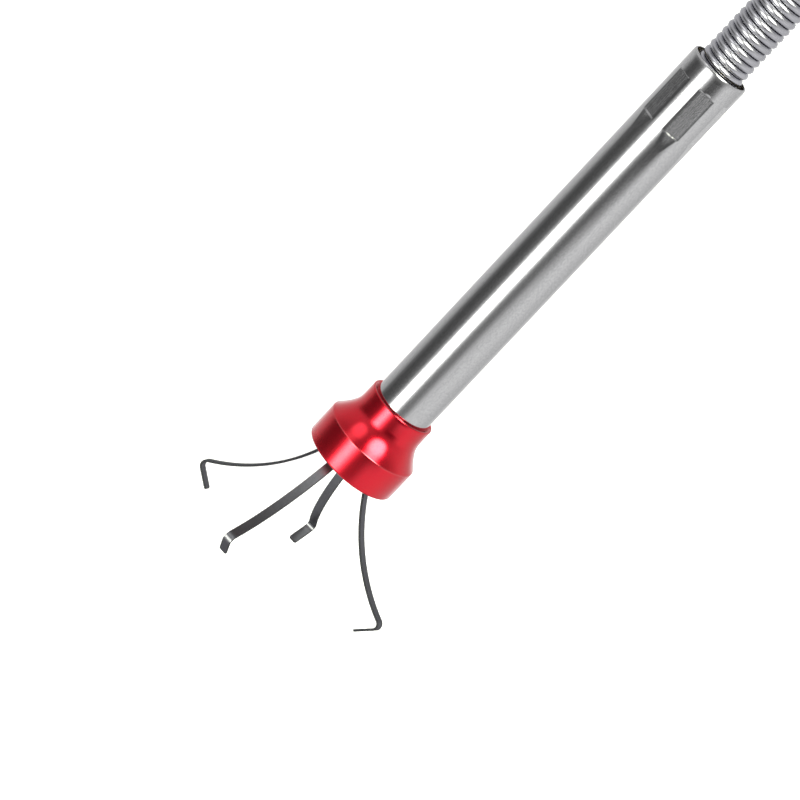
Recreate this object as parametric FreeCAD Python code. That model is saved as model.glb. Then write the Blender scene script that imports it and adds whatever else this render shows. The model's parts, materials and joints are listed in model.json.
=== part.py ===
import FreeCAD, Part
import math
import os

# Four-claw spring pick-up tool with a flexible shaft, lying along X.
# Claws point to +X, the thumb button to -X, +Z is up. Units are millimetres.
# The origin is at the middle of the bounding box, on the plane the tool lies on.

os.makedirs("parts", exist_ok=True)

# ---- overall sizes -------------------------------------------------------
REAR_X = -310.0            # rear face of the thumb button
COLLAR_FACE = 284.3        # front face of the red collar
AXIS_H = 20.0              # height of the tool's axis over the rest plane

# ---- head: collar and tube -----------------------------------------------
TUBE_R = 6.0
TUBE_WALL = 0.5
TUBE_BORE = TUBE_R - TUBE_WALL
TUBE_FRONT = COLLAR_FACE - 10.0
TUBE_REAR = COLLAR_FACE - 102.0
CRIMP_FRONT = COLLAR_FACE - 88.0
CRIMP_REAR = COLLAR_FACE - 98.0
CRIMP_DEPTH = 0.28
CRIMP_RAMP = 0.9
CRIMP_TURN = -15.0         # direction of one crimp flat, from +Z towards +Y
RIM_R = 9.75
RIM_LEN = 6.5
NECK_R = 6.95
NECK_LEN = 3.4
COLLAR_LEN = 15.1
BELL_R = 8.95

# ---- claws -----------------------------------------------------------------
CLAW_W = 1.75
CLAW_T = 0.5
ROOT_X = COLLAR_FACE - 8.0
ROOT_R = 2.6
MOUTH_R = 5.16             # distance from the axis where a blade leaves the mouth
BLADE_LEN = 26.3
SPLIT_AT = 6.5             # length of blade that stays with the root link
BEND_R = 1.1
BEND_ANGLE = 112.5
HOOK_LEN = 4.2
# each claw is formed by hand: direction round the axis from +Z towards +Y,
# angle at the mouth, turn per mm of blade, sideways offset
CLAWS = {
    "1": (-133.0, 16.2, 1.51, 0.0),
    "2": (-44.0, 30.1, 1.42, -1.0),
    "3": (137.9, 12.5, 1.60, 1.2),
    "4": (39.0, 31.5, 1.57, 0.0),
}

# ---- flexible casing --------------------------------------------------------
CASING_R = 4.7
CASING_GROOVE = 0.32
CASING_BORE = 2.4
COIL_PITCH = 1.54
JOINT_FIRST = -144.0
JOINT_PITCH = 38.5
JOINTS = 9
CASING_REAR = -184.0
CASING_FRONT = COLLAR_FACE - 85.0
CONE_ANGLE = 10.5
CABLE_R = 1.0

# ---- handle -----------------------------------------------------------------
BARREL_R = 10.5
BARREL_BORE = 9.0
BARREL_REAR = -286.0
BARREL_FRONT = -178.0
NOSE_BACK = -190.0
NOSE_FRONT = -156.0
NOSE_BORE = 5.6
PLUG_FRONT = -276.0
CAP_REAR = -294.0
FLANGE_REAR = -276.0
FLANGE_T = 8.0
FLANGE_HALF_W = 27.0
FLANGE_TOP = 20.0
FLANGE_CORNER = 15.0
HANG_R = 2.5
HANG_Y = 20.5
PISTON_REAR = -222.0
PISTON_LEN = 10.0
PISTON_R = 8.95
ROD_R = 2.5
CAP_BORE = 2.55
SEAT_T = 2.0
SPRING_MEAN_R = 6.4
SPRING_WIRE_R = 0.75
SPRING_TURNS = 7.0
TRAVEL = 25.0

AXIS_DIR = FreeCAD.Vector(1, 0, 0)


def at(x, y=0.0, z=0.0):
    """A point given by its distance along the tool and from the tool's axis."""
    return FreeCAD.Vector(x, y, AXIS_H + z)


def rod(x0, x1, r):
    """A round bar on the tool's axis from x0 to x1."""
    return Part.makeCylinder(r, x1 - x0, at(x0), AXIS_DIR)


def ring(x0, x1, r_out, r_in):
    """A tube on the tool's axis."""
    return rod(x0, x1, r_out).cut(rod(x0 - 1.0, x1 + 1.0, r_in))


def line(a, b):
    return Part.LineSegment(a, b).toShape()


def arc(a, m, b):
    return Part.Arc(a, m, b).toShape()


def turned(edges):
    """A solid of revolution about the tool's axis from edges in the XZ plane."""
    face = Part.Face(Part.Wire(edges))
    return face.revolve(at(0.0), AXIS_DIR, 360.0)


def profile(points):
    """Edges through (x, r) points. A point with a third value is an arc's middle."""
    edges = []
    count = len(points)
    n = 0
    while n < count:
        a = points[n]
        b = points[(n + 1) % count]
        if len(b) == 3:
            c = points[(n + 2) % count]
            edges.append(arc(at(a[0], 0, a[1]), at(b[0], 0, b[1]), at(c[0], 0, c[1])))
            n += 2
        else:
            edges.append(line(at(a[0], 0, a[1]), at(b[0], 0, b[1])))
            n += 1
    return edges


def about_axis(shape, angle):
    """Turns a shape about the tool's axis, from +Z towards +Y."""
    out = shape.copy()
    out.rotate(at(0.0), AXIS_DIR, -angle)
    return out


def round_edges(shape, radius, wanted):
    """Fillets the edges that wanted() picks, or leaves the shape alone."""
    picked = [e for e in shape.Edges if wanted(e)]
    if not picked:
        return shape
    try:
        out = shape.makeFillet(radius, picked)
    except Exception:
        return shape
    return out if out.isValid() and out.Volume > 0 else shape


def save(shape, node):
    if shape.ShapeType == "Compound" and len(shape.Solids) == 1:
        shape = shape.Solids[0]
    shape.exportStep("parts/" + node + ".step")


# ---- head --------------------------------------------------------------------
def nozzle_collar():
    """Red collar: thin rear neck, concave flare, crisp ridge, plain rim, bell mouth."""
    f = COLLAR_FACE
    back = f - COLLAR_LEN
    ridge = f - RIM_LEN
    neck_end = back + NECK_LEN
    points = [
        (back, TUBE_R),
        (back, NECK_R - 0.25),
        (back + 0.25, NECK_R),
        (neck_end, NECK_R),
        (neck_end + 2.9, NECK_R + 0.85, 0),
        (ridge, RIM_R),
        (f - 0.5, RIM_R),
        (f - 0.1, RIM_R - 0.12, 0),
        (f, RIM_R - 0.45),
        (f, BELL_R),
        (f - 3.0, 7.65),
        (f - 6.0, 6.50),
        (f - 10.0, TUBE_BORE),
        (f - 10.0, TUBE_R),
    ]
    return turned(profile(points))


def flat_cutter(turn, apothem, ramp):
    """A block that planes one flat of the hexagonal crimp, with sloped ends."""
    top = TUBE_R + 2.0
    points = [
        (CRIMP_REAR - ramp, TUBE_R + 0.05),
        (CRIMP_REAR, apothem),
        (CRIMP_FRONT, apothem),
        (CRIMP_FRONT + ramp, TUBE_R + 0.05),
        (CRIMP_FRONT + ramp, top),
        (CRIMP_REAR - ramp, top),
    ]
    wire = Part.Wire(profile(points))
    block = Part.Face(wire).extrude(FreeCAD.Vector(0, 20, 0))
    block.translate(FreeCAD.Vector(0, -10, 0))
    return about_axis(block, turn)


def head_tube():
    """Polished tube with a hexagonal crimp near its rear end."""
    outer = rod(TUBE_REAR, TUBE_FRONT, TUBE_R)
    inner = rod(TUBE_REAR - 1.0, TUBE_FRONT + 1.0, TUBE_BORE)
    apothem = TUBE_R - CRIMP_DEPTH
    for n in range(6):
        turn = CRIMP_TURN + 60.0 * n
        outer = outer.cut(flat_cutter(turn, apothem, CRIMP_RAMP))
        inner = inner.cut(flat_cutter(turn, apothem - TUBE_WALL, CRIMP_RAMP))
    body = outer.cut(inner)
    return body.removeSplitter()


def crimp_insert():
    """Thin brass sleeve that the crimp squeezes onto the casing."""
    return ring(CRIMP_REAR - 2.0, CRIMP_FRONT + 2.0, 5.2, CASING_R)


def cable_guide():
    """Nylon bush that keeps the cable central in the head tube."""
    x = COLLAR_FACE - 83.0
    points = [
        (x, 1.5),
        (x, TUBE_BORE),
        (x + 8.0, TUBE_BORE),
        (x + 8.0, 2.6),
        (x + 6.5, 1.5),
    ]
    return turned(profile(points))


# ---- carrier that slides in the tube --------------------------------------------
def claw_ferrule():
    """Brass ferrule that holds the four blade roots and the cable's end."""
    front = ROOT_X - 0.4
    points = [
        (front - 16.0, 0.0),
        (front - 16.0, 1.8),
        (front - 12.5, 2.0),
        (front - 12.0, 4.2),
        (front - 11.5, 5.0),
        (front - 9.0, 5.0),
        (front - 8.5, 4.2),
        (front - 4.5, 4.2),
        (front - 4.0, 3.6),
        (front - 0.3, 3.6),
        (front, 3.3),
        (front, 0.0),
    ]
    return turned(profile(points))


def ferrule_band():
    """Steel band pressed round the ferrule over the blade roots."""
    front = ROOT_X - 0.4
    return ring(front - 8.3, front - 4.7, 4.7, 4.2)


def cable_end():
    """Short swaged end of the cable, behind the ferrule."""
    front = ROOT_X - 0.4
    points = [
        (front - 24.0, 0.0),
        (front - 24.0, 1.2),
        (front - 23.5, 1.6),
        (front - 16.5, 1.6),
        (front - 16.0, 1.3),
        (front - 16.0, 0.0),
    ]
    return turned(profile(points))


# ---- claws ----------------------------------------------------------------------
def along(start, segments):
    """Joins (length, turn) segments. Gives a list of (point, angle) at their ends."""
    x, r, angle = start
    out = [(x, r, angle)]
    for length, turn in segments:
        half = math.radians(turn) / 2.0
        chord = length if abs(half) < 1e-9 else length * math.sin(half) / half
        mid = math.radians(angle) + half
        x += chord * math.cos(mid)
        r += chord * math.sin(mid)
        angle += turn
        out.append((x, r, angle))
    return out


def offset(place, side):
    x, r, angle = place
    a = math.radians(angle)
    return at(x - side * math.sin(a), 0.0, r + side * math.cos(a))


def strip(start, segments):
    """A spring-steel strip that follows (length, turn) segments."""
    half = CLAW_T / 2.0
    ends = along(start, segments)
    upper = []
    lower = []
    for n in range(len(segments)):
        length, turn = segments[n]
        mid = along(ends[n], [(length / 2.0, turn / 2.0)])[1]
        for side, edges in ((half, upper), (-half, lower)):
            a = offset(ends[n], side)
            b = offset(ends[n + 1], side)
            if abs(turn) < 1e-6:
                edges.append(line(a, b))
            else:
                edges.append(arc(a, offset(mid, side), b))
    caps = [
        line(offset(ends[0], half), offset(ends[0], -half)),
        line(offset(ends[-1], half), offset(ends[-1], -half)),
    ]
    wire = Part.Wire(Part.__sortEdges__(upper + lower + caps))
    solid = Part.Face(wire).extrude(FreeCAD.Vector(0, CLAW_W, 0))
    solid.translate(FreeCAD.Vector(0, -CLAW_W / 2.0, 0))
    return solid


def root_lead(mouth_angle):
    """Length and turn of the lead that joins the ferrule to the mouth."""
    rise = MOUTH_R - ROOT_R
    run = COLLAR_FACE - ROOT_X
    chord_angle = math.degrees(math.atan2(rise, run))
    lean = mouth_angle - chord_angle
    chord = math.hypot(rise, run)
    half = math.radians(lean)
    length = chord if abs(half) < 1e-9 else chord * half / math.sin(half)
    return chord_angle - lean, length, 2.0 * lean


def place_claw(solid, direction, sideways):
    solid.translate(FreeCAD.Vector(0, sideways, 0))
    return about_axis(solid, direction)


def claw_root(name):
    """Inner link of one claw, from the ferrule to a point ahead of the mouth."""
    direction, mouth_angle, curl, sideways = CLAWS[name]
    start_angle, length, turn = root_lead(mouth_angle)
    segments = [(length, turn), (SPLIT_AT - 0.12, curl * (SPLIT_AT - 0.12))]
    solid = strip((ROOT_X, ROOT_R, start_angle), segments)
    return place_claw(solid, direction, sideways)


def claw_tip(name):
    """Outer link of one claw with its inward hook."""
    direction, mouth_angle, curl, sideways = CLAWS[name]
    reach = SPLIT_AT + 0.12
    start = along((COLLAR_FACE, MOUTH_R, mouth_angle), [(reach, curl * reach)])[1]
    rest = BLADE_LEN - reach
    segments = [
        (rest, curl * rest),
        (BEND_R * math.radians(BEND_ANGLE), -BEND_ANGLE),
        (HOOK_LEN, 0.0),
    ]
    solid = strip(start, segments)
    return place_claw(solid, direction, sideways)


# ---- flexible casing ----------------------------------------------------------------
def casing_segment(x0, x1, cone_back, cone_front):
    """Close-wound casing: a tube with one rounded coil after another.

    A coned end leaves room for the next segment to bend.
    """
    lean = math.tan(math.radians(CONE_ANGLE))
    slack = 0.12
    back_out = x0 + (slack + CASING_R * lean if cone_back else 0.0)
    back_in = x0 + (slack + CASING_BORE * lean if cone_back else 0.0)
    front_out = x1 - (slack + CASING_R * lean if cone_front else 0.0)
    front_in = x1 - (slack + CASING_BORE * lean if cone_front else 0.0)
    turns = int((front_out - back_out) / COIL_PITCH)
    pitch = (front_out - back_out) / turns
    foot = CASING_R - CASING_GROOVE
    points = [(back_in, CASING_BORE), (back_out, foot)]
    for n in range(turns):
        x = back_out + n * pitch
        points.append((x + pitch / 2.0, CASING_R, 0))
        points.append((x + pitch, foot))
    points.append((front_in, CASING_BORE))
    return turned(profile(points))


def casing(n):
    x0 = CASING_REAR if n == 1 else JOINT_FIRST + (n - 2) * JOINT_PITCH
    x1 = CASING_FRONT if n == JOINTS + 1 else JOINT_FIRST + (n - 1) * JOINT_PITCH
    return casing_segment(x0, x1, n > 1, n <= JOINTS)


def pull_cable():
    """Cable from the piston to the swaged end, straight as stored."""
    return rod(PISTON_REAR + 3.6, ROOT_X - 24.8, CABLE_R)


# ---- handle -----------------------------------------------------------------------------
def handle_barrel():
    body = ring(BARREL_REAR, BARREL_FRONT, BARREL_R, BARREL_BORE)
    hole = Part.makeCylinder(1.2, 20.0, at(-196.0, 0, 0), FreeCAD.Vector(0, 0, 1))
    return body.cut(hole)


def nose_cone():
    """Front end of the handle, flared like the head's collar."""
    points = [
        (NOSE_BACK, 1.7),
        (NOSE_BACK, BARREL_BORE),
        (BARREL_FRONT, BARREL_BORE),
        (BARREL_FRONT, 11.2),
        (BARREL_FRONT + 0.5, 11.7),
        (BARREL_FRONT + 7.0, 11.7),
        (BARREL_FRONT + 11.0, 8.6, 0),
        (NOSE_FRONT - 4.0, 7.7),
        (NOSE_FRONT - 0.4, 7.7),
        (NOSE_FRONT, 7.3),
        (NOSE_FRONT, NOSE_BORE),
        (NOSE_BACK + 4.0, NOSE_BORE),
        (NOSE_BACK + 4.0, 1.7),
    ]
    body = turned(profile(points))
    hole = Part.makeCylinder(2.0, 20.0, at(-174.5, 0, 0), FreeCAD.Vector(0, 0, 1))
    return body.cut(hole)


def rear_ferrule():
    """Steel sleeve that grips the casing inside the nose."""
    x0 = NOSE_BACK + 4.0
    x1 = NOSE_FRONT + 2.6
    points = [
        (x0, CASING_R),
        (x0, NOSE_BORE),
        (x1 - 2.6, NOSE_BORE),
        (x1 - 2.4, 6.3),
        (x1 - 0.6, 6.3),
        (x1, 5.7),
        (x1, CASING_R),
    ]
    return turned(profile(points))


def set_screw(x, r_low, r_high, size, socket):
    """Headless screw on the top side, with a hexagon socket."""
    up = FreeCAD.Vector(0, 0, 1)
    body = Part.makeCylinder(size, r_high - r_low, at(x, 0, r_low), up)
    corners = []
    for n in range(7):
        a = math.radians(60.0 * n)
        corners.append(at(x + socket * math.cos(a), socket * math.sin(a), r_high - 1.4))
    hexagon = Part.Face(Part.makePolygon(corners))
    return body.cut(hexagon.extrude(FreeCAD.Vector(0, 0, 3.0)))


def nose_screw():
    return set_screw(-174.5, NOSE_BORE, 11.3, 2.0, 1.1)


def grip_sleeve():
    """Rubber sleeve with round ribs over the middle of the barrel."""
    x0 = -262.0
    ribs = 14
    pitch = 4.4
    points = [(x0, BARREL_R), (x0, 12.0)]
    x = x0
    for n in range(ribs):
        points.append((x + pitch * 0.5, 13.3, 0))
        points.append((x + pitch * 0.9, 12.0))
        x += pitch
        points.append((x, 12.0))
    points.append((x, BARREL_R))
    return turned(profile(points))


def finger_flange():
    """Oval plate for two fingers, with a flat lower edge and a hanging hole."""
    x0 = FLANGE_REAR
    tall = FLANGE_TOP + AXIS_H
    corner = FreeCAD.Vector(x0, -FLANGE_HALF_W, 0)
    plate = Part.makeBox(FLANGE_T, 2.0 * FLANGE_HALF_W, tall, corner)

    def long_edge(e):
        d = e.Vertexes[-1].Point.sub(e.Vertexes[0].Point)
        return abs(abs(d.x) - FLANGE_T) < 1e-6

    plate = round_edges(plate, FLANGE_CORNER, long_edge)

    def front_rim(e):
        return all(abs(v.Point.x - (x0 + FLANGE_T)) < 1e-6 for v in e.Vertexes)

    plate = round_edges(plate, 2.6, front_rim)

    def rear_rim(e):
        return all(abs(v.Point.x - x0) < 1e-6 for v in e.Vertexes)

    plate = round_edges(plate, 1.2, rear_rim)
    boss = rod(x0, x0 + FLANGE_T + 3.0, 13.6)
    body = plate.fuse(boss)
    body = body.cut(rod(x0 - 1.0, x0 + FLANGE_T + 4.0, BARREL_R))
    hang = Part.makeCylinder(HANG_R, FLANGE_T + 2.0, at(x0 - 1.0, HANG_Y, 0), AXIS_DIR)
    body = body.cut(hang)
    x = x0 + FLANGE_T / 2.0
    hole = Part.makeCylinder(2.0, 30.0, at(x, 0, 5.0), FreeCAD.Vector(0, 0, 1))
    return body.cut(hole)


def flange_screw():
    return set_screw(FLANGE_REAR + FLANGE_T / 2.0, BARREL_R, 16.5, 2.0, 1.1)


def rear_cap():
    """Fluted cap that closes the barrel and guides the plunger rod."""
    points = [
        (CAP_REAR, CAP_BORE),
        (CAP_REAR, 10.6),
        (CAP_REAR + 0.9, 11.5),
        (BARREL_REAR, 11.5),
        (BARREL_REAR, BARREL_BORE),
        (PLUG_FRONT, BARREL_BORE),
        (PLUG_FRONT, CAP_BORE),
    ]
    body = turned(profile(points))
    for n in range(20):
        flute = Part.makeCylinder(0.9, 6.2, at(BARREL_REAR - 6.6, 0, 12.0), AXIS_DIR)
        body = body.cut(about_axis(flute, 18.0 * n))
    return body


def stop_spacer():
    """Sleeve in the barrel that the piston meets when the tool is let go."""
    return ring(PLUG_FRONT, PISTON_REAR - TRAVEL - 0.4, 8.9, 6.0)


def spring_seat():
    return ring(NOSE_BACK - SEAT_T, NOSE_BACK, 8.8, 1.8)


def return_spring():
    """Compression spring between the front seat and the piston."""
    x0 = PISTON_REAR + PISTON_LEN + SPRING_WIRE_R + 0.1
    x1 = NOSE_BACK - SEAT_T - SPRING_WIRE_R - 0.1
    height = x1 - x0
    pitch = height / SPRING_TURNS
    helix = Part.makeHelix(pitch, height, SPRING_MEAN_R)
    start = helix.Vertexes[0].Point
    run = FreeCAD.Vector(0, 2.0 * math.pi * SPRING_MEAN_R, pitch)
    run.normalize()
    circle = Part.Circle(start, run, SPRING_WIRE_R)
    quarter = math.pi / 2.0
    arcs = []
    for k in range(4):
        arcs.append(Part.ArcOfCircle(circle, k * quarter, (k + 1) * quarter).toShape())
    section = Part.Wire(arcs)
    coil = Part.Wire(helix).makePipeShell([section], True, True)
    coil.rotate(FreeCAD.Vector(0, 0, 0), FreeCAD.Vector(0, 1, 0), 90.0)
    coil.translate(at(x0))
    return coil


# ---- plunger ------------------------------------------------------------------------------
def piston():
    x0 = PISTON_REAR
    x1 = PISTON_REAR + PISTON_LEN
    points = [
        (x0, 2.0),
        (x0, PISTON_R - 0.5),
        (x0 + 0.5, PISTON_R),
        (x1 - 0.5, PISTON_R),
        (x1, PISTON_R - 0.5),
        (x1, 4.8),
        (x1 + 3.6, 4.8),
        (x1 + 4.0, 4.4),
        (x1 + 4.0, CABLE_R),
        (x0 + 3.6, CABLE_R),
        (x0 + 3.6, 0.0),
        (x0 + 3.0, 0.0),
        (x0 + 3.0, 2.0),
    ]
    body = turned(profile(points))
    hole = Part.makeCylinder(1.5, 20.0, at(x0 + 6.5, 0, 0.9), FreeCAD.Vector(0, 0, 1))
    return body.cut(hole)


def piston_screw():
    return set_screw(PISTON_REAR + 6.5, CABLE_R, 8.2, 1.5, 0.8)


def plunger_rod():
    """Steel rod from the piston to the thumb button."""
    points = [
        (REAR_X + 7.0, 0.0),
        (REAR_X + 7.0, ROD_R),
        (PISTON_REAR, ROD_R),
        (PISTON_REAR, 2.0),
        (PISTON_REAR + 3.0, 2.0),
        (PISTON_REAR + 3.0, 0.0),
    ]
    return turned(profile(points))


def thumb_button():
    """Round thumb button with a shallow dish and a boss on the rod."""
    r = REAR_X
    points = [
        (r + 2.2, 1.6),
        (r + 2.2, 3.1),
        (r + 0.9, 3.1),
        (r + 0.35, 7.6, 0),
        (r, 10.6),
        (r + 0.6, 12.4, 0),
        (r + 2.4, 13.0),
        (r + 4.6, 12.7, 0),
        (r + 6.6, 11.0),
        (r + 8.4, 6.6),
        (r + 14.0, 5.6),
        (r + 14.0, ROD_R),
        (r + 7.0, ROD_R),
        (r + 7.0, 1.6),
    ]
    return turned(profile(points))


def button_screw():
    """Round-headed screw in the middle of the thumb button."""
    r = REAR_X
    points = [
        (r + 0.7, 0.0),
        (r + 0.7, 2.2),
        (r + 1.2, 2.8),
        (r + 2.2, 2.8),
        (r + 2.2, 1.6),
        (r + 6.9, 1.6),
        (r + 6.9, 0.0),
    ]
    body = turned(profile(points))
    corners = []
    for n in range(7):
        a = math.radians(60.0 * n)
        corners.append(at(r + 0.2, 1.2 * math.cos(a), 1.2 * math.sin(a)))
    hexagon = Part.Face(Part.makePolygon(corners))
    return body.cut(hexagon.extrude(FreeCAD.Vector(1.4, 0, 0)))


def bumper_ring():
    """Rubber washer that cushions the thumb button against the cap."""
    x0 = REAR_X + 14.0
    points = [
        (x0, ROD_R),
        (x0, 5.2),
        (x0 + 0.7, 6.0, 0),
        (x0 + 1.4, 5.2),
        (x0 + 1.4, ROD_R),
    ]
    return turned(profile(points))


PARTS = {
    "nozzle_collar": nozzle_collar,
    "head_tube": head_tube,
    "crimp_insert": crimp_insert,
    "cable_guide": cable_guide,
    "claw_ferrule": claw_ferrule,
    "ferrule_band": ferrule_band,
    "cable_end": cable_end,
    "pull_cable": pull_cable,
    "handle_barrel": handle_barrel,
    "nose_cone": nose_cone,
    "nose_screw": nose_screw,
    "rear_ferrule": rear_ferrule,
    "grip_sleeve": grip_sleeve,
    "finger_flange": finger_flange,
    "flange_screw": flange_screw,
    "rear_cap": rear_cap,
    "stop_spacer": stop_spacer,
    "spring_seat": spring_seat,
    "return_spring": return_spring,
    "piston": piston,
    "piston_screw": piston_screw,
    "plunger_rod": plunger_rod,
    "thumb_button": thumb_button,
    "button_screw": button_screw,
    "bumper_ring": bumper_ring,
}

for node, make in PARTS.items():
    save(make(), node)

for name in CLAWS:
    save(claw_root(name), "claw_root_" + name)
    save(claw_tip(name), "claw_tip_" + name)

for n in range(1, JOINTS + 2):
    save(casing(n), "casing_" + str(n))
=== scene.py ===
import json
import math

import bpy
from mathutils import Matrix, Vector


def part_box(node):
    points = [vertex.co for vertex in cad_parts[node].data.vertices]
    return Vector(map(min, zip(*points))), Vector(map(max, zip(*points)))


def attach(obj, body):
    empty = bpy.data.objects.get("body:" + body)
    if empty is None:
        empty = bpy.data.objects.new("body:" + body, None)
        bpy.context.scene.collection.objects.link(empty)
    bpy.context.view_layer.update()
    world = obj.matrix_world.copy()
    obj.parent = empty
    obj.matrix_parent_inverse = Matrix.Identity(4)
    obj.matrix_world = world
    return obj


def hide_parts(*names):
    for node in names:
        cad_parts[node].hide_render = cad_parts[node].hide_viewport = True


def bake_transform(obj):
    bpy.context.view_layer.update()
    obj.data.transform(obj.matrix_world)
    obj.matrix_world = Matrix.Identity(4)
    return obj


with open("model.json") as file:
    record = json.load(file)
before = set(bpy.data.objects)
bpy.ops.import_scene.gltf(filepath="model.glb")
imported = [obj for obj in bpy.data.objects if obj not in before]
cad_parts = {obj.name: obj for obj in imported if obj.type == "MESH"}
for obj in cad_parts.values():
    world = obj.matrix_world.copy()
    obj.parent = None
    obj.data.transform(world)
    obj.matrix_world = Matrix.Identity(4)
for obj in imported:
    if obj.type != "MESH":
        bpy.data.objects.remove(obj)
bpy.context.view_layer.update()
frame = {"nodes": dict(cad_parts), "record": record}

MM = 0.001
scene = bpy.context.scene
nodes = frame["nodes"]

# ---------------------------------------------------------------- datums
tube_lo, tube_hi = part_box("head_tube")
AXIS_Z = (tube_lo.z + tube_hi.z) / 2.0
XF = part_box("nozzle_collar")[1].x          # front plane of the collar
FLOOR_Z = 0.0
RIDGE_BACK = 6.5                           # the collar's ridge, mm behind its front plane
RIDGE_R = 9.75                             # radius of the ridge and of the rim ahead of it


def at(x_mm, y_mm=0.0, z_mm=0.0):
    """A point given in mm from the collar's front plane and from the tool's axis."""
    return Vector((XF + x_mm * MM, y_mm * MM, AXIS_Z + z_mm * MM))


def row(x_mm, y_mm=0.0, z_mm=0.0):
    """A point given by its x in the row frame, in mm, and from the tool's axis."""
    return Vector((x_mm * MM, y_mm * MM, AXIS_Z + z_mm * MM))


# ---------------------------------------------------------------- camera
FOCAL_PX = 3700.0
TOOL_ANGLE = math.radians(46.833)    # the tool's axis in the view, over the horizontal
TILT = math.radians(18.753)          # how far the axis points away from the camera
ROLL = math.radians(-30.6)           # where the side that faces the camera is, from +Z to +Y
FACE_AT = Vector((-9.150, 11.642, 689.149))   # collar's front centre from the camera, mm

e_x, e_y = -math.cos(TOOL_ANGLE), math.sin(TOOL_ANGLE)
p_x, p_y = math.sin(TOOL_ANGLE), math.cos(TOOL_ANGLE)
A = Vector((1, 0, 0))
B = Vector((0, math.sin(ROLL), math.cos(ROLL)))
P = Vector((0, math.cos(ROLL), -math.sin(ROLL)))
right = A * (e_x * math.cos(TILT)) + B * (e_x * math.sin(TILT)) + P * p_x
down = A * (e_y * math.cos(TILT)) + B * (e_y * math.sin(TILT)) + P * p_y
forward = A * math.sin(TILT) - B * math.cos(TILT)
eye = at(0) - (right * FACE_AT.x + down * FACE_AT.y + forward * FACE_AT.z) * MM
cam_data = bpy.data.cameras.new("camera")
cam_data.sensor_width = 36.0
cam_data.sensor_fit = "HORIZONTAL"
cam_data.lens = FOCAL_PX / 800.0 * 36.0
cam_data.clip_start = 0.01
cam_data.clip_end = 20.0
camera = bpy.data.objects.new("camera", cam_data)
scene.collection.objects.link(camera)
turn = Matrix((right, -down, -forward)).transposed().to_4x4()
camera.matrix_world = Matrix.Translation(eye) @ turn
scene.camera = camera
scene.view_settings.view_transform = "Standard"
scene.view_settings.look = "None"


# ---------------------------------------------------------------- node helpers
def tree(mat):
    mat.use_nodes = True
    nt = mat.node_tree
    nt.nodes.clear()
    return nt


def math_node(nt, op, a, b=None, c=None, clamp=False):
    n = nt.nodes.new("ShaderNodeMath")
    n.operation = op
    n.use_clamp = clamp
    for i, v in enumerate((a, b, c)):
        if v is None:
            continue
        if isinstance(v, (int, float)):
            n.inputs[i].default_value = v
        else:
            nt.links.new(v, n.inputs[i])
    return n.outputs[0]


def scaled(nt, value, factor, shift=0.0):
    """value * factor + shift."""
    return math_node(nt, "MULTIPLY_ADD", value, factor, shift)


def map_range(nt, value, lo, hi, smooth=True):
    """0 where the value is lo, 1 where it is hi."""
    n = nt.nodes.new("ShaderNodeMapRange")
    n.interpolation_type = "SMOOTHSTEP" if smooth else "LINEAR"
    n.inputs["From Min"].default_value = lo
    n.inputs["From Max"].default_value = hi
    nt.links.new(value, n.inputs["Value"])
    return n.outputs[0]


def blend_values(nt, t, a, b):
    """a where t is 0, b where t is 1."""
    return math_node(nt, "MULTIPLY_ADD", t, math_node(nt, "SUBTRACT", b, a), a)


def grey_ramp(nt, fac, stops):
    """A grey level that runs straight from one (place, level) stop to the next."""
    n = nt.nodes.new("ShaderNodeValToRGB")
    el = n.color_ramp.elements
    while len(el) < len(stops):
        el.new(0.5)
    for item, (place, level) in zip(el, stops):
        item.position = place
        item.color = (level, level, level, 1.0)
    nt.links.new(fac, n.inputs[0])
    return n.outputs[0]


def colour(nt, red, green, blue):
    n = nt.nodes.new("ShaderNodeCombineColor")
    for socket, value in zip(n.inputs, (red, green, blue)):
        nt.links.new(value, socket)
    return n.outputs[0]


def coords(nt, scale=(1, 1, 1)):
    tc = nt.nodes.new("ShaderNodeTexCoord")
    mp = nt.nodes.new("ShaderNodeMapping")
    mp.inputs["Scale"].default_value = scale
    nt.links.new(tc.outputs["Object"], mp.inputs["Vector"])
    return mp.outputs[0]


def noise(nt, vec, scale, detail=3.0, rough=0.5):
    n = nt.nodes.new("ShaderNodeTexNoise")
    n.inputs["Scale"].default_value = scale
    n.inputs["Detail"].default_value = detail
    n.inputs["Roughness"].default_value = rough
    nt.links.new(vec, n.inputs["Vector"])
    return n.outputs[0]


def bump(nt, height, strength, distance):
    n = nt.nodes.new("ShaderNodeBump")
    n.inputs["Strength"].default_value = strength
    n.inputs["Distance"].default_value = distance
    nt.links.new(height, n.inputs["Height"])
    return n.outputs[0]


def principled(nt, **values):
    out = nt.nodes.new("ShaderNodeOutputMaterial")
    b = nt.nodes.new("ShaderNodeBsdfPrincipled")
    nt.links.new(b.outputs[0], out.inputs[0])
    for key, value in values.items():
        socket = b.inputs[key.replace("_", " ")]
        if isinstance(value, bpy.types.NodeSocket):
            nt.links.new(value, socket)
        elif isinstance(value, tuple) and len(value) == 3:
            socket.default_value = (*value, 1.0)
        else:
            socket.default_value = value


def length(nt, a, b):
    """Square root of a * a + b * b."""
    squares = math_node(nt, "ADD", math_node(nt, "MULTIPLY", a, a), math_node(nt, "MULTIPLY", b, b))
    return math_node(nt, "SQRT", squares)


def polar(nt):
    """Places along the tool, round it and out from its axis."""
    tc = nt.nodes.new("ShaderNodeTexCoord")
    sep = nt.nodes.new("ShaderNodeSeparateXYZ")
    nt.links.new(tc.outputs["Object"], sep.inputs[0])
    z = math_node(nt, "SUBTRACT", sep.outputs["Z"], AXIS_Z)
    ang = math_node(nt, "ARCTAN2", sep.outputs["Y"], z)
    return sep.outputs["X"], ang, length(nt, sep.outputs["Y"], z)


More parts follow.
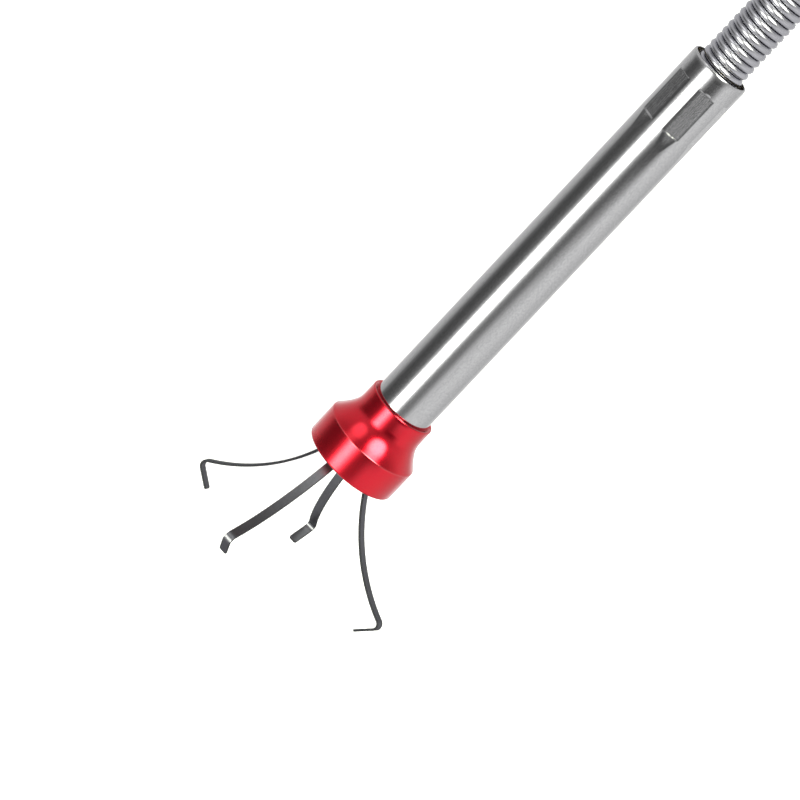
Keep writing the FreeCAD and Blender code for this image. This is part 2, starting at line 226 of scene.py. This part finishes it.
# ---------------------------------------------------------------- materials
def polished_steel(name, base=0.64, rough=0.125):
    """Steel with a lengthwise grain."""
    mat = bpy.data.materials.new(name)
    nt = tree(mat)
    x, ang, rad = polar(nt)
    around = nt.nodes.new("ShaderNodeCombineXYZ")
    for socket, value in zip(around.inputs, (math_node(nt, "MULTIPLY", x, 40.0), ang, rad)):
        nt.links.new(value, socket)
    broad = noise(nt, around.outputs[0], 7.0, 3.0, 0.5)
    lines = noise(nt, coords(nt, (120, 5200, 5200)), 1.0, 3.0, 0.6)
    specks = noise(nt, coords(nt, (2600, 5600, 5600)), 1.0, 2.0, 0.65)
    tone = math_node(nt, "ADD", scaled(nt, specks, 0.32, base - 0.16), scaled(nt, broad, 0.06, -0.03))
    tint = colour(nt, tone, tone, math_node(nt, "MULTIPLY", tone, 1.01))
    r = math_node(nt, "ADD", scaled(nt, specks, 0.12, rough - 0.06), scaled(nt, lines, 0.06, -0.03))
    normal = bump(nt, math_node(nt, "ADD", lines, specks), 0.35, 0.00001)
    principled(nt, Base_Color=tint, Metallic=1.0, Roughness=r, Normal=normal)
    return mat


def crimped_steel(name):
    """The head tube's steel: as above, with scored flats where it is crimped."""
    mat = polished_steel(name)
    nt = mat.node_tree
    surface = next(n for n in nt.nodes if n.type == "BSDF_PRINCIPLED")
    grain = surface.inputs["Normal"].links[0].from_socket
    on_flat = map_range(nt, polar(nt)[2], 5.95 * MM, 5.84 * MM, smooth=False)
    scored = noise(nt, coords(nt, (220, 4600, 4600)), 1.0, 4.0, 0.7)
    rub = nt.nodes.new("ShaderNodeBump")
    rub.inputs["Strength"].default_value = 1.0
    rub.inputs["Distance"].default_value = 0.00005
    nt.links.new(math_node(nt, "MULTIPLY", scored, on_flat), rub.inputs["Height"])
    nt.links.new(grain, rub.inputs["Normal"])
    nt.links.new(rub.outputs[0], surface.inputs["Normal"])
    return mat


def ridge_painted_highlight(nt, cloud):
    """1 on the collar's ridge, where a painted highlight lightens the colour towards pink, and 0 away from
    it.
    """
    x, _, rad = polar(nt)
    from_x = math_node(nt, "SUBTRACT", x, XF - RIDGE_BACK * MM)
    from_r = math_node(nt, "SUBTRACT", rad, RIDGE_R * MM)
    near = map_range(nt, length(nt, from_x, from_r), 0.26 * MM, 0.06 * MM)
    patchy = math_node(nt, "MULTIPLY_ADD", cloud, 1.2, -0.1, clamp=True)
    return math_node(nt, "MULTIPLY", near, patchy)


def red_anodised(name):
    """Dyed metal under a clear skin, with turning rings, a fine grain and a painted highlight along the
    ridge.
    """
    mat = bpy.data.materials.new(name)
    nt = tree(mat)
    rings = noise(nt, coords(nt, (5200, 60, 60)), 1.0, 3.0, 0.6)
    cloud = noise(nt, coords(nt), 240.0, 3.0, 0.5)
    grain = noise(nt, coords(nt), 4200.0, 2.0, 0.6)
    ridge_highlight = ridge_painted_highlight(nt, cloud)
    red = scaled(nt, grain, 0.16, 0.77)
    # green and blue are raised on the ridge here: a painted highlight line in the base colour
    green = scaled(nt, ridge_highlight, 0.10, scaled(nt, rings, 0.004, 0.002))
    blue = scaled(nt, ridge_highlight, 0.10, scaled(nt, cloud, 0.016, 0.016))
    normal = bump(nt, math_node(nt, "ADD", rings, grain), 0.18, 0.00001)
    principled(nt, Base_Color=colour(nt, red, green, blue), Metallic=0.95,
               Roughness=scaled(nt, grain, 0.10, 0.13), Normal=normal,
               Coat_Weight=1.0, Coat_Roughness=0.10, Coat_IOR=1.42)
    return mat


def spring_steel(name, base=0.22, rough=0.33):
    """The strip's rolled faces: dark tempered steel, blotched and faintly pitted."""
    mat = bpy.data.materials.new(name)
    nt = tree(mat)
    blotch = noise(nt, coords(nt), 900.0, 4.0, 0.6)
    fine = noise(nt, coords(nt), 5200.0, 3.0, 0.6)
    tone = math_node(nt, "ADD", scaled(nt, blotch, 0.10, base - 0.05), scaled(nt, fine, 0.08, -0.04))
    tint = colour(nt, tone, tone, math_node(nt, "MULTIPLY", tone, 1.08))
    normal = bump(nt, math_node(nt, "ADD", fine, blotch), 0.35, 0.00003)
    principled(nt, Base_Color=tint, Metallic=1.0, Roughness=scaled(nt, fine, 0.16, rough - 0.08),
               Normal=normal, Specular_Tint=(0.35, 0.35, 0.36))
    return mat


def sheared_edge(name):
    """The strip's cut edges: darker and duller than its rolled faces."""
    mat = bpy.data.materials.new(name)
    nt = tree(mat)
    fine = noise(nt, coords(nt), 4200.0, 3.0, 0.6)
    tone = scaled(nt, fine, 0.040, 0.018)
    tint = colour(nt, tone, tone, math_node(nt, "MULTIPLY", tone, 1.15))
    principled(nt, Base_Color=tint, Metallic=0.0, Roughness=0.6,
               Normal=bump(nt, fine, 0.5, 0.00004), Specular_IOR_Level=0.05)
    return mat


def clouded(nt, base, darker, lighter, scale):
    """A base colour that drifts between a darker and a lighter tone."""
    mix = nt.nodes.new("ShaderNodeMix")
    mix.data_type = "RGBA"
    mix.inputs["A"].default_value = (*[c * darker for c in base], 1.0)
    mix.inputs["B"].default_value = (*[min(1.0, c * lighter) for c in base], 1.0)
    nt.links.new(noise(nt, coords(nt), scale, 3.0, 0.5), mix.inputs["Factor"])
    return mix.outputs["Result"]


def plain_metal(name, base, rough=0.28, grain=(1, 1, 1), scale=900.0, depth=0.15):
    mat = bpy.data.materials.new(name)
    nt = tree(mat)
    fine = noise(nt, coords(nt, grain), scale, 3.0, 0.6)
    principled(nt, Base_Color=clouded(nt, base, 0.86, 1.10, 90.0), Metallic=1.0,
               Roughness=scaled(nt, fine, 0.14, rough - 0.07), Normal=bump(nt, fine, depth, 0.00002))
    return mat


def soft_plastic(name, base, rough=0.55, scale=1800.0, depth=0.25):
    mat = bpy.data.materials.new(name)
    nt = tree(mat)
    fine = noise(nt, coords(nt), scale, 3.0, 0.6)
    principled(nt, Base_Color=clouded(nt, base, 0.8, 1.25, 60.0),
               Roughness=scaled(nt, fine, 0.2, rough - 0.1), Normal=bump(nt, fine, depth, 0.00005))
    return mat


STEEL = polished_steel("polished_steel")
TUBE_STEEL = crimped_steel("crimped_steel")
EDGE = sheared_edge("sheared_edge")
RED = red_anodised("red_anodised")
SPRING = spring_steel("spring_steel")
COIL = plain_metal("coil_wire", (0.62, 0.62, 0.66), 0.26, scale=1400.0, depth=0.2)
BRASS = plain_metal("brass", (0.75, 0.56, 0.25), 0.26, (40, 1, 1), 260.0, 0.2)
SATIN = plain_metal("satin_aluminium", (0.72, 0.73, 0.75), 0.34, (30, 1, 1), 240.0, 0.25)
BLACK_OXIDE = plain_metal("black_oxide", (0.06, 0.06, 0.065), 0.42, scale=2200.0, depth=0.25)
CABLE = plain_metal("cable_steel", (0.58, 0.58, 0.60), 0.32, scale=1600.0, depth=0.2)
RUBBER = soft_plastic("black_rubber", (0.022, 0.022, 0.024), 0.58)
NYLON = soft_plastic("nylon", (0.80, 0.80, 0.76), 0.42)
BY_SLOT = {
    "red_anodised": RED, "polished_steel": STEEL, "spring_steel": SPRING,
    "casing_steel": COIL, "brass": BRASS, "rubber": RUBBER,
    "satin_aluminium": SATIN, "dark_screw": BLACK_OXIDE, "nylon": NYLON,
    "cable_steel": CABLE,
}
for part in frame["record"]["subparts"]:
    data = nodes[part["node"]].data
    data.materials.clear()
    data.materials.append(BY_SLOT[part["material_slot"]])


# ---------------------------------------------------------------- mesh helpers
def new_mesh(name, verts, faces, mat, angle=35.0):
    mesh = bpy.data.meshes.new(name)
    mesh.from_pydata([tuple(v) for v in verts], [], faces)
    mesh.validate()
    mesh.update()
    for poly in mesh.polygons:
        poly.use_smooth = True
    mesh.set_sharp_from_angle(angle=math.radians(angle))
    mesh.materials.append(mat)
    obj = bpy.data.objects.new(name, mesh)
    scene.collection.objects.link(obj)
    return obj


def spin(angle_deg, r_mm):
    """Offset from the axis, for a direction measured from +Z towards +Y."""
    a = math.radians(angle_deg)
    return r_mm * math.sin(a), r_mm * math.cos(a)


def rounded(points):
    """Path through (x, r, radius) corners, each rounded by its radius, in mm."""
    out = []
    n = len(points)
    for i, (x, r, rad) in enumerate(points):
        p = Vector((x, r))
        if rad <= 0:
            out.append((x, r))
            continue
        a = (Vector(points[i - 1][:2]) - p).normalized()
        b = (Vector(points[(i + 1) % n][:2]) - p).normalized()
        half = math.acos(max(-1.0, min(1.0, a.dot(b)))) / 2.0
        cut = rad / math.tan(half)
        s, e = p + a * cut, p + b * cut
        for k in range(5):
            t = k / 4.0
            q = s * (1 - t) ** 2 + p * 2 * t * (1 - t) + e * t ** 2
            out.append((q.x, q.y))
    return out


def skin(rows, sides, ring_closed=False):
    """Faces between one ring of points and the next, with end caps or joined up as a ring."""
    faces = []
    for i in range(rows if ring_closed else rows - 1):
        j = (i + 1) % rows
        for k in range(sides):
            m = (k + 1) % sides
            faces.append((i * sides + k, i * sides + m, j * sides + m, j * sides + k))
    if not ring_closed:
        faces.append(tuple(range(sides - 1, -1, -1)))
        faces.append(tuple((rows - 1) * sides + k for k in range(sides)))
    return faces


def wire_ring(centre, radial, tangent, wire_r, sides):
    """Points round a wire's section, in the plane across its tangent."""
    third = tangent.cross(radial)
    ring = []
    for k in range(sides):
        b = 2.0 * math.pi * k / sides
        ring.append(centre + (radial * math.cos(b) + third * math.sin(b)) * wire_r * MM)
    return ring


def lathe(name, path, mat, segments):
    """Turns a closed (x, r) path in mm about the tool's axis."""
    verts = []
    for x, r in path:
        for k in range(segments):
            verts.append(at(x, *spin(360.0 * k / segments, r)))
    return new_mesh(name, verts, skin(len(path), segments, ring_closed=True), mat, 30.0)


# ---------------------------------------------------------------- collar
def flare():
    """Concave flare between the collar's neck and its ridge."""
    knots = [(-12.1, 6.96), (-11.2, 7.02), (-10.2, 7.26), (-9.2, 7.74), (-8.2, 8.38), (-7.3, 9.02)]
    return [(x, r, 0.0) for x, r in knots]


collar_path = rounded(
    [(-14.45, 6.04, 0.0), (-15.1, 6.60, 0.06), (-15.1, 6.95, 0.22), (-14.2, 6.95, 0.0)]
    + flare()
    + [(-RIDGE_BACK, RIDGE_R, 0.34), (0.0, RIDGE_R, 0.42), (0.0, 8.95, 0.25), (-3.0, 7.65, 0.0),
       (-6.0, 6.5, 0.0), (-10.0, 5.5, 0.0), (-10.0, 6.04, 0.0)]
)
collar = lathe("collar_body", collar_path, RED, 224)
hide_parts("nozzle_collar")
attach(collar, "head")


# ---------------------------------------------------------------- tube with the crimp
TUBE_R, TUBE_BORE = 6.0, 5.55
TUBE_FRONT, TUBE_REAR = -10.0, -102.0
CRIMP_FRONT, CRIMP_REAR = -88.0, -98.0
CRIMP_TURN = -15.0                    # direction of one flat, from +Z towards +Y
CRIMP_DEPTH = 0.28
LEAD, LEAD_SHARE = 6.2, 0.68          # the dished run-in ahead of the flats, and its depth
STEP = 0.20                           # length of the flats' sloped ends
ROUND_END = 0.4                       # length of the rounded rear edge


def crimp_share(x):
    """How deep the crimp is at x mm from the collar's front plane."""
    if x > CRIMP_FRONT:
        t = (x - CRIMP_FRONT) / LEAD
        return LEAD_SHARE * (1.0 - t) ** 2 if t < 1.0 else 0.0
    if x > CRIMP_FRONT - STEP:
        return LEAD_SHARE + (1.0 - LEAD_SHARE) * (CRIMP_FRONT - x) / STEP
    if x > CRIMP_REAR + STEP:
        return 1.0
    if x > CRIMP_REAR:
        return 1.0 - (CRIMP_REAR + STEP - x) / STEP
    return 0.0


def tube_radius(x, angle, base):
    share = crimp_share(x)
    if share <= 0.0:
        return base
    a = (angle - CRIMP_TURN + 30.0) % 60.0 - 30.0
    flat = (base - CRIMP_DEPTH * share) / math.cos(math.radians(a))
    return min(base, flat)


def tube_stations():
    """Places along the tube, close together at the crimp and at the rounded rear edge."""
    xs = [TUBE_FRONT, -12.0, -15.0, -18.0]
    xs += [-20.0 - 4.0 * k for k in range(16)]
    x = -84.5
    while x > CRIMP_REAR - 1.0:
        xs.append(x)
        x -= 0.175
    return xs + [-99.2, -100.5, TUBE_REAR + ROUND_END, -101.85, -101.97, TUBE_REAR]


def tube_mesh():
    sides = 240
    xs = tube_stations()
    verts = []
    for x in xs:
        end = max(0.0, TUBE_REAR + ROUND_END - x) / ROUND_END
        for k in range(sides):
            a = 360.0 * k / sides
            verts.append(at(x, *spin(a, tube_radius(x, a, TUBE_R) - 0.18 * end ** 2)))
    for x in reversed(xs):
        for k in range(sides):
            a = 360.0 * k / sides
            verts.append(at(x, *spin(a, tube_radius(x, a, TUBE_BORE))))
    return verts, skin(2 * len(xs), sides, ring_closed=True)


verts, faces = tube_mesh()
tube = new_mesh("tube_body", verts, faces, TUBE_STEEL, 28.0)
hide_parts("head_tube")
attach(tube, "head")


# ---------------------------------------------------------------- claws
# direction round the axis and angle at the mouth, curl per mm of blade, all in degrees, and shift in mm
CLAWS = {
    "1": (-133.0, 16.2, 1.51, 0.0),
    "2": (-44.0, 30.1, 1.42, -1.0),
    "3": (137.9, 12.5, 1.60, 1.2),
    "4": (39.0, 31.5, 1.57, 0.0),
}
CLAW_W, CLAW_T, CLAW_EASE = 1.75, 0.5, 0.07
ROOT_X, ROOT_R, MOUTH_R = -8.0, 2.6, 5.16
TAIL_LEN, BLADE_LEN, SPLIT_AT = 3.2, 26.3, 6.5
BEND_R, BEND_ANGLE, HOOK_LEN = 1.1, 112.5, 4.2
POINT_LEN = 0.35                      # length over which the hook's end narrows


def centreline(mouth_angle, curl):
    """(x, r, angle, run) along one claw, in mm and degrees, and the run at the mouth."""
    rise, run = MOUTH_R - ROOT_R, -ROOT_X
    chord_angle = math.degrees(math.atan2(rise, run))
    lean = mouth_angle - chord_angle
    half = math.radians(lean)
    lead = math.hypot(rise, run) * (half / math.sin(half) if abs(half) > 1e-9 else 1.0)
    spans = [
        (lead, 2.0 * lean, 22),
        (BLADE_LEN, curl * BLADE_LEN, 64),
        (BEND_R * math.radians(BEND_ANGLE), -BEND_ANGLE, 18),
        (HOOK_LEN, 0.0, 14),
    ]
    x, r, ang, s = ROOT_X, ROOT_R, chord_angle - lean, 0.0
    out = []
    for k in range(6, 0, -1):
        d = TAIL_LEN * k / 6.0
        a = math.radians(ang)
        out.append((x - d * math.cos(a), r - d * math.sin(a), ang, -d))
    out.append((x, r, ang, s))
    for span, turn, steps in spans:
        for k in range(steps):
            d = span / steps
            mid = math.radians(ang + turn / steps / 2.0)
            x += d * math.cos(mid)
            r += d * math.sin(mid)
            ang += turn / steps
            s += d
            out.append((x, r, ang, s))
    return out, lead


def claw_point(x, r, direction, sideways):
    d = math.radians(direction)
    y = r * math.sin(d) + sideways * math.cos(d)
    z = r * math.cos(d) - sideways * math.sin(d)
    return at(x, y, z)


def claw_strip(name, line, direction, sideways, hook_end):
    """Thin strip with eased edges along the centreline."""
    w, t, e = CLAW_W / 2.0, CLAW_T / 2.0, CLAW_EASE
    ring = [(-w + e, -t), (w - e, -t), (w, -t + e), (w, t - e),
            (w - e, t), (-w + e, t), (-w, t - e), (-w, -t + e)]
    rolled = (0, 4)                   # the sides of the ring that are the strip's broad faces
    end = line[-1][3]
    verts = []
    for x, r, ang, s in line:
        a = math.radians(ang)
        close = max(0.0, 1.0 - (end - s) / POINT_LEN) if hook_end else 0.0
        narrow = 1.0 - 0.30 * close ** 2
        thin = 1.0 - 0.15 * close ** 2
        for u, v in ring:
            px = x - v * thin * math.sin(a)
            pr = r + v * thin * math.cos(a)
            verts.append(claw_point(px, pr, direction, sideways + u * narrow))
    obj = new_mesh(name, verts, skin(len(line), len(ring)), SPRING, 32.0)
    obj.data.materials.append(EDGE)
    for i, face in enumerate(obj.data.polygons):
        is_cap = i >= (len(line) - 1) * len(ring)
        if is_cap or i % len(ring) not in rolled:
            face.material_index = 1
    return obj


for key, (direction, mouth_angle, curl, sideways) in CLAWS.items():
    line, lead = centreline(mouth_angle, curl)

    def nearest(s):
        """Index of the centreline's point at run s."""
        return min(range(len(line)), key=lambda j: abs(line[j][3] - s))

    split = lead + SPLIT_AT
    middle = nearest(split * 0.5)
    base = claw_strip(f"claw_{key}_base", line[:middle + 1], direction, sideways, False)
    blade = claw_strip(f"claw_{key}_blade", line[middle:], direction, sideways, True)
    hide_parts(f"claw_root_{key}")
    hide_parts(f"claw_tip_{key}")
    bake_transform(base)
    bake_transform(blade)


# ---------------------------------------------------------------- flexible casing
JOINT_FIRST, JOINT_PITCH, JOINTS = -144.0, 38.5, 9
CASING_REAR, CASING_FRONT = -184.0, 199.3
CASING_R, WIRE_R = 4.7, 0.76
COIL_PITCH = 1.54
CABLE_R, STRANDS, CABLE_LAY = 0.9, 6, 16.0
JOINT_X = [JOINT_FIRST + n * JOINT_PITCH for n in range(JOINTS)]


def coil_piece(name, x0, x1):
    """A stretch of the casing's wire. All stretches share one phase, so they join up."""
    per_turn, sides = 30, 8
    mean_r = CASING_R - WIRE_R
    steps = max(2, int(round((x1 - x0) / COIL_PITCH * per_turn)))
    verts = []
    for i in range(steps + 1):
        x = x0 + (x1 - x0) * i / steps
        turn_at = 2.0 * math.pi * x / COIL_PITCH
        c, s = math.cos(turn_at), math.sin(turn_at)
        tangent = Vector((COIL_PITCH / (2 * math.pi * mean_r), c, -s)).normalized()
        verts += wire_ring(row(x, mean_r * s, mean_r * c), Vector((0, s, c)), tangent, WIRE_R, sides)
    return new_mesh(name, verts, skin(steps + 1, sides), COIL, 60.0)


def cable_piece(name, x0, x1):
    """Strands twisted round a core."""
    steps, sides = max(2, int(x1 - x0)), 3 * STRANDS
    verts = []
    for i in range(steps + 1):
        x = x0 + (x1 - x0) * i / steps
        twist = 2.0 * math.pi * x / CABLE_LAY
        for k in range(sides):
            a = 2.0 * math.pi * k / sides
            r = CABLE_R + 0.1 * abs(math.cos(STRANDS / 2.0 * (a - twist)))
            verts.append(row(x, r * math.sin(a), r * math.cos(a)))
    return new_mesh(name, verts, skin(steps + 1, sides), CABLE, 40.0)


edges = [CASING_REAR] + [x + JOINT_PITCH / 2.0 for x in JOINT_X[:-1]] + [CASING_FRONT]
for n in range(JOINTS):
    x0, x1 = edges[n], edges[n + 1]
    wire = coil_piece(f"casing_coil_{n + 1}", x0, x1)
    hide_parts(f"casing_{n + 1}")
    if n == JOINTS - 1:
        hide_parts(f"casing_{n + 2}")
    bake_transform(wire)
    core = cable_piece(f"cable_core_{n + 1}", max(x0, -172.0), x1)
    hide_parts("pull_cable")
    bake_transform(core)

cable_lo, cable_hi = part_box("pull_cable")
rear_cable = cable_piece("cable_rear", cable_lo.x / MM, -150.0)
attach(rear_cable, "plunger")
front_cable = cable_piece("cable_front", 205.0, cable_hi.x / MM + 0.3)
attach(front_cable, "carrier")


# ---------------------------------------------------------------- return spring
def return_spring():
    lo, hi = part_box("return_spring")
    wire_r, mean_r, turns = 0.75, 6.4, 7.0
    flat_turns = 0.8                  # the end turns lie flat against their seats
    x0, x1 = lo.x / MM + wire_r, hi.x / MM - wire_r
    steps, sides = 260, 10
    verts = []
    for i in range(steps + 1):
        t = i / steps
        eased = min(1.0, max(0.0, (t * turns - flat_turns) / (turns - 2.0 * flat_turns)))
        x = x0 + (x1 - x0) * eased
        a = 2.0 * math.pi * turns * t
        s, c = math.sin(a), math.cos(a)
        tangent = Vector((0.08, c, -s)).normalized()
        verts += wire_ring(row(x, mean_r * s, mean_r * c), Vector((0, s, c)), tangent, wire_r, sides)
    obj = new_mesh("spring_coil", verts, skin(steps + 1, sides), COIL, 60.0)
    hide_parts("return_spring")
    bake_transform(obj)


return_spring()


# ---------------------------------------------------------------- world and floor
def studio():
    """A long strip light, a round soft light and broad panels round the tool's axis."""
    world = bpy.data.worlds.new("studio")
    scene.world = world
    world.use_nodes = True
    nt = world.node_tree
    nt.nodes.clear()
    tc = nt.nodes.new("ShaderNodeTexCoord")
    sep = nt.nodes.new("ShaderNodeSeparateXYZ")
    nt.links.new(tc.outputs["Generated"], sep.inputs[0])
    along = sep.outputs["X"]
    ang = math_node(nt, "ARCTAN2", sep.outputs["Y"], sep.outputs["Z"])
    turn_at = math_node(nt, "SUBTRACT", ang, ROLL)
    fac = math_node(nt, "FRACT", math_node(nt, "MULTIPLY_ADD", turn_at, 1.0 / (2 * math.pi), 1.5))
    peak = 16.0                       # a ramp holds levels up to 1, so the bands are scaled by this

    def band(levels):
        stops = [((t + 180.0) / 360.0, v / peak) for t, v in levels]
        return math_node(nt, "MULTIPLY", grey_ramp(nt, fac, stops), peak)

    dark_side = [(-180, 0.70), (-160, 0.84), (-146, 0.66), (-122, 0.56), (-110, 0.42), (-98, 0.17),
                 (-84, 0.09), (-68, 0.10), (-52, 0.18), (-43, 0.5)]
    strip = [(-38, 1.8), (-30, 8.0), (-24, 9.8), (-18, 8.6), (-11, 3.4), (-5, 0.9), (3, 0.31)]
    bright_side = [(66, 0.82), (84, 0.80), (104, 0.70), (134, 0.60), (148, 0.76), (166, 0.84), (180, 0.70)]
    shaft_end = band(dark_side + strip + [(14, 0.10), (34, 0.09), (44, 0.22), (56, 0.62)] + bright_side)
    collar_end = band(dark_side + strip + [(12, 0.25), (22, 0.30), (30, 0.55), (40, 0.80)] + bright_side)
    behind = band([(-180, 0.60), (-90, 0.54), (-44, 0.52), (-18, 0.42), (0, 0.26), (46, 0.40),
                   (66, 0.58), (90, 0.66), (116, 0.72), (140, 0.60), (180, 0.60)])
    far_behind = band([(-180, 0.16), (-100, 0.16), (-60, 0.38), (0, 0.20), (80, 0.18), (120, 0.28),
                       (180, 0.16)])
    ahead = band([(-180, 0.60), (-90, 0.35), (-40, 0.55), (0, 0.55), (60, 0.70), (180, 0.60)])
    front = blend_values(nt, map_range(nt, along, 0.215, 0.31), shaft_end, collar_end)
    front = blend_values(nt, map_range(nt, along, 0.40, 0.62), front, ahead)
    rear = blend_values(nt, map_range(nt, along, -0.86, -0.40), far_behind, behind)
    level = blend_values(nt, map_range(nt, along, -0.20, 0.13), rear, front)

    def round_light(a, b, p, outer, inner, strength):
        nonlocal level
        d = (A * a + B * b + P * p).normalized()
        dot = nt.nodes.new("ShaderNodeVectorMath")
        dot.operation = "DOT_PRODUCT"
        nt.links.new(tc.outputs["Generated"], dot.inputs[0])
        dot.inputs[1].default_value = d
        rim, core = math.cos(math.radians(outer)), math.cos(math.radians(inner))
        level = scaled(nt, map_range(nt, dot.outputs["Value"], rim, core), strength, level)

    round_light(-0.678, 0.651, 0.341, 23.5, 3.0, 13.0)
    round_light(-0.640, 0.520, -0.565, 21.0, 3.0, 1.1)
    # the lamps are a little warmer than the panels
    hot = math_node(nt, "MAXIMUM", math_node(nt, "SUBTRACT", level, 2.0), 0.0)
    glow = colour(nt, level, scaled(nt, hot, 0.03, level), scaled(nt, hot, -0.16, level))
    reflected = nt.nodes.new("ShaderNodeBackground")
    nt.links.new(glow, reflected.inputs[0])
    reflected.inputs[1].default_value = 1.0
    seen = nt.nodes.new("ShaderNodeBackground")
    seen.inputs[0].default_value = (1, 1, 1, 1)
    seen.inputs[1].default_value = 1.0
    path = nt.nodes.new("ShaderNodeLightPath")
    mix = nt.nodes.new("ShaderNodeMixShader")
    nt.links.new(path.outputs["Is Camera Ray"], mix.inputs[0])
    nt.links.new(reflected.outputs[0], mix.inputs[1])
    nt.links.new(seen.outputs[0], mix.inputs[2])
    out = nt.nodes.new("ShaderNodeOutputWorld")
    nt.links.new(mix.outputs[0], out.inputs[0])


def floor():
    size = 3.0
    mesh = bpy.data.meshes.new("floor")
    corners = [(-size, -size), (size, -size), (size, size), (-size, size)]
    mesh.from_pydata([(x, y, FLOOR_Z) for x, y in corners], [], [(0, 1, 2, 3)])
    obj = bpy.data.objects.new("floor", mesh)
    scene.collection.objects.link(obj)
    mat = bpy.data.materials.new("floor_white")
    nt = tree(mat)
    principled(nt, Base_Color=(0.9, 0.9, 0.9), Roughness=0.9, Specular_IOR_Level=0.0,
               Emission_Color=(1.0, 1.0, 1.0), Emission_Strength=0.45)
    mesh.materials.append(mat)
    obj.visible_glossy = False


studio()
floor()
